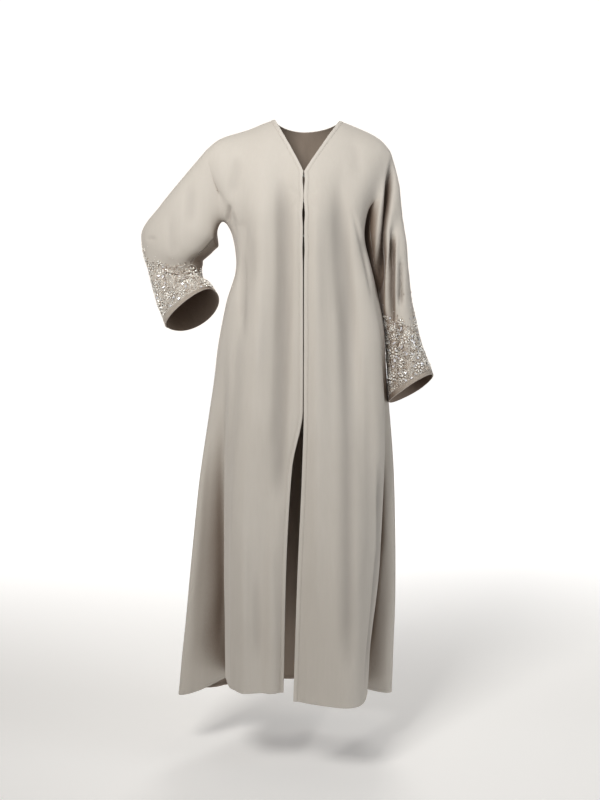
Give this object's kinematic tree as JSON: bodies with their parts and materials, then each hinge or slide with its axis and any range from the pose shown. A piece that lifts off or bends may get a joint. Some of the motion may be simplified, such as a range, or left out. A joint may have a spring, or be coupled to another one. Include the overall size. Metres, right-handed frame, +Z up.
{
  "type": "abaya cloak",
  "caption": "Long open-front cloak worn over clothes: collarless V neck, front edges closed by snaps, flaring skirt, wide cut-in-one sleeves with beaded ends, hollow as worn.",
  "frame": {"origin": "midway between the shoulders at the height of the neck points, where the cloak hangs from its wearer", "axes": "+Z up, the wearer faces -Y, +X to the wearer's left; the floor is about 1.504 m below the origin"},
  "size_m": [0.6863, 0.4272, 1.3945],
  "materials": {
    "crepe": "matt crepe weave with a soft sheen",
    "edging": "topstitched self-fabric band",
    "corded_edge": "corded and beaded self-fabric band",
    "stud_metal": "satin"
  },
  "bodies": {
    "root": {"front_right": "crepe", "front_left": "crepe", "back": "crepe", "front_band_right": "edging", "front_band_left": "edging", "neck_band_back": "edging", "cuff_band_right": "corded_edge", "cuff_band_left": "corded_edge", "snap_1_socket": "stud_metal", "snap_1_stud": "stud_metal", "snap_2_socket": "stud_metal", "snap_2_stud": "stud_metal", "snap_3_socket": "stud_metal", "snap_3_stud": "stud_metal"}
  },
  "joints": []
}
